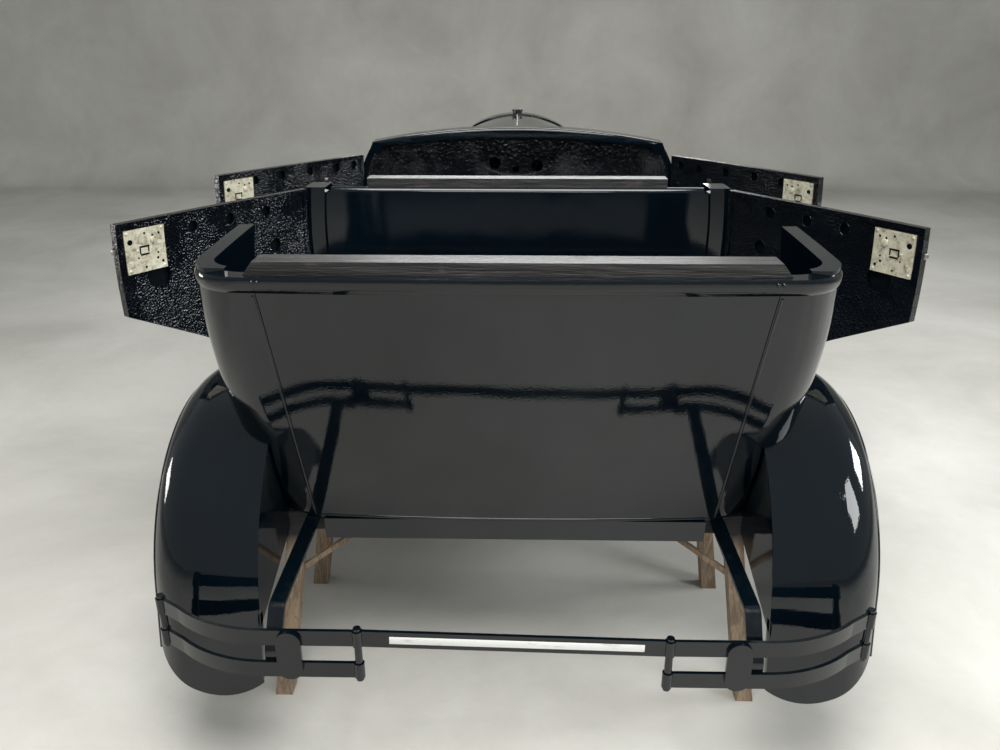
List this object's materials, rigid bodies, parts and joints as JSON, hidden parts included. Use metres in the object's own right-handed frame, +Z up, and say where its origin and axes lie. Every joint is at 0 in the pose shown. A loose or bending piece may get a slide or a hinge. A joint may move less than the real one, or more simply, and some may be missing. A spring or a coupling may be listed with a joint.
{
  "type": "vintage touring car body",
  "caption": "Stripped open touring car body with doors open, fenders, hood and bumpers, standing on timber posts in place of wheels.",
  "frame": {"origin": "floor level under the middle of the overall length and width", "axes": "+Y towards the front of the car, +X towards its right side, +Z up"},
  "size_m": [2.1158, 3.875, 1.298],
  "materials": {
    "body_paint": "glossy black paint",
    "fender_paint": "glossy black paint",
    "frame_paint": "satin black paint",
    "board_cover": "ribbed black covering",
    "painted_timber": "rough black paint over grain",
    "raw_timber": "raw sawn softwood",
    "latch_plate": "dull zinc",
    "radiator_core": "matt black core",
    "engine_iron": "painted casting"
  },
  "bodies": {
    "car_body": {"body_sill_left": "body_paint", "body_sill_right": "body_paint", "bumper_centre_bar": "frame_paint", "bumper_front": "frame_paint", "bumper_rear_left": "frame_paint", "bumper_rear_right": "frame_paint", "centre_pillar_left": "body_paint", "centre_pillar_right": "body_paint", "chassis_frame": "frame_paint", "cowl_side_left": "body_paint", "cowl_side_right": "body_paint", "cowl_top": "body_paint", "dash_panel": "body_paint", "engine_block": "engine_iron", "fender_front_left": "fender_paint", "fender_front_right": "fender_paint", "fender_rear_left": "fender_paint", "fender_rear_right": "fender_paint", "firewall": "frame_paint", "floor_pan": "painted_timber", "front_seat_back": "painted_timber", "front_seat_riser": "painted_timber", "front_tacking_rail": "painted_timber", "gauge_plate": "frame_paint", "headlamps": "fender_paint", "hood_hinge_rod": "frame_paint", "quarter_panel_left": "body_paint", "quarter_panel_right": "body_paint", "radiator_cap": "frame_paint", "radiator_core": "radiator_core", "radiator_shell": "fender_paint", "rear_panel": "body_paint", "rear_seat_riser": "painted_timber", "rear_sill": "painted_timber", "rear_tacking_rail": "painted_timber", "running_board_left": "board_cover", "running_board_right": "board_cover", "splash_apron_left": "fender_paint", "splash_apron_right": "fender_paint", "stand_front_inner": "raw_timber", "stand_front_outer": "raw_timber", "stand_rear_inner": "raw_timber", "stand_rear_outer": "raw_timber"},
    "front_door_left": {"door_front_left": "body_paint", "latch_front_left": "latch_plate"},
    "front_door_right": {"door_front_right": "body_paint", "latch_front_right": "latch_plate"},
    "rear_door_left": {"door_rear_left": "body_paint", "latch_rear_left": "latch_plate"},
    "rear_door_right": {"door_rear_right": "body_paint", "latch_rear_right": "latch_plate"},
    "hood_half_left": {"hood_left": "body_paint"},
    "hood_half_right": {"hood_right": "body_paint"}
  },
  "joints": [
    {"name": "front_door_left_hinge", "type": "hinge", "parent": "car_body", "child": "front_door_left", "pos_m": [-0.646, 0.1575, 0.89], "axis": [0, 0, -1], "range_deg": [-34, 36]},
    {"name": "rear_door_left_hinge", "type": "hinge", "parent": "car_body", "child": "rear_door_left", "pos_m": [-0.698, -0.6195, 0.89], "axis": [0, 0, -1], "range_deg": [-34, 36]},
    {"name": "front_door_right_hinge", "type": "hinge", "parent": "car_body", "child": "front_door_right", "pos_m": [0.646, 0.1575, 0.89], "axis": [0, 0, 1], "range_deg": [-34, 36]},
    {"name": "rear_door_right_hinge", "type": "hinge", "parent": "car_body", "child": "rear_door_right", "pos_m": [0.698, -0.6195, 0.89], "axis": [0, 0, 1], "range_deg": [-34, 36]},
    {"name": "hood_left_hinge", "type": "hinge", "parent": "car_body", "child": "hood_half_left", "pos_m": [0, 0.948, 1.232], "axis": [0, 1, 0], "range_deg": [0, 75]},
    {"name": "hood_right_hinge", "type": "hinge", "parent": "car_body", "child": "hood_half_right", "pos_m": [0, 0.948, 1.232], "axis": [0, -1, 0], "range_deg": [0, 75]}
  ]
}
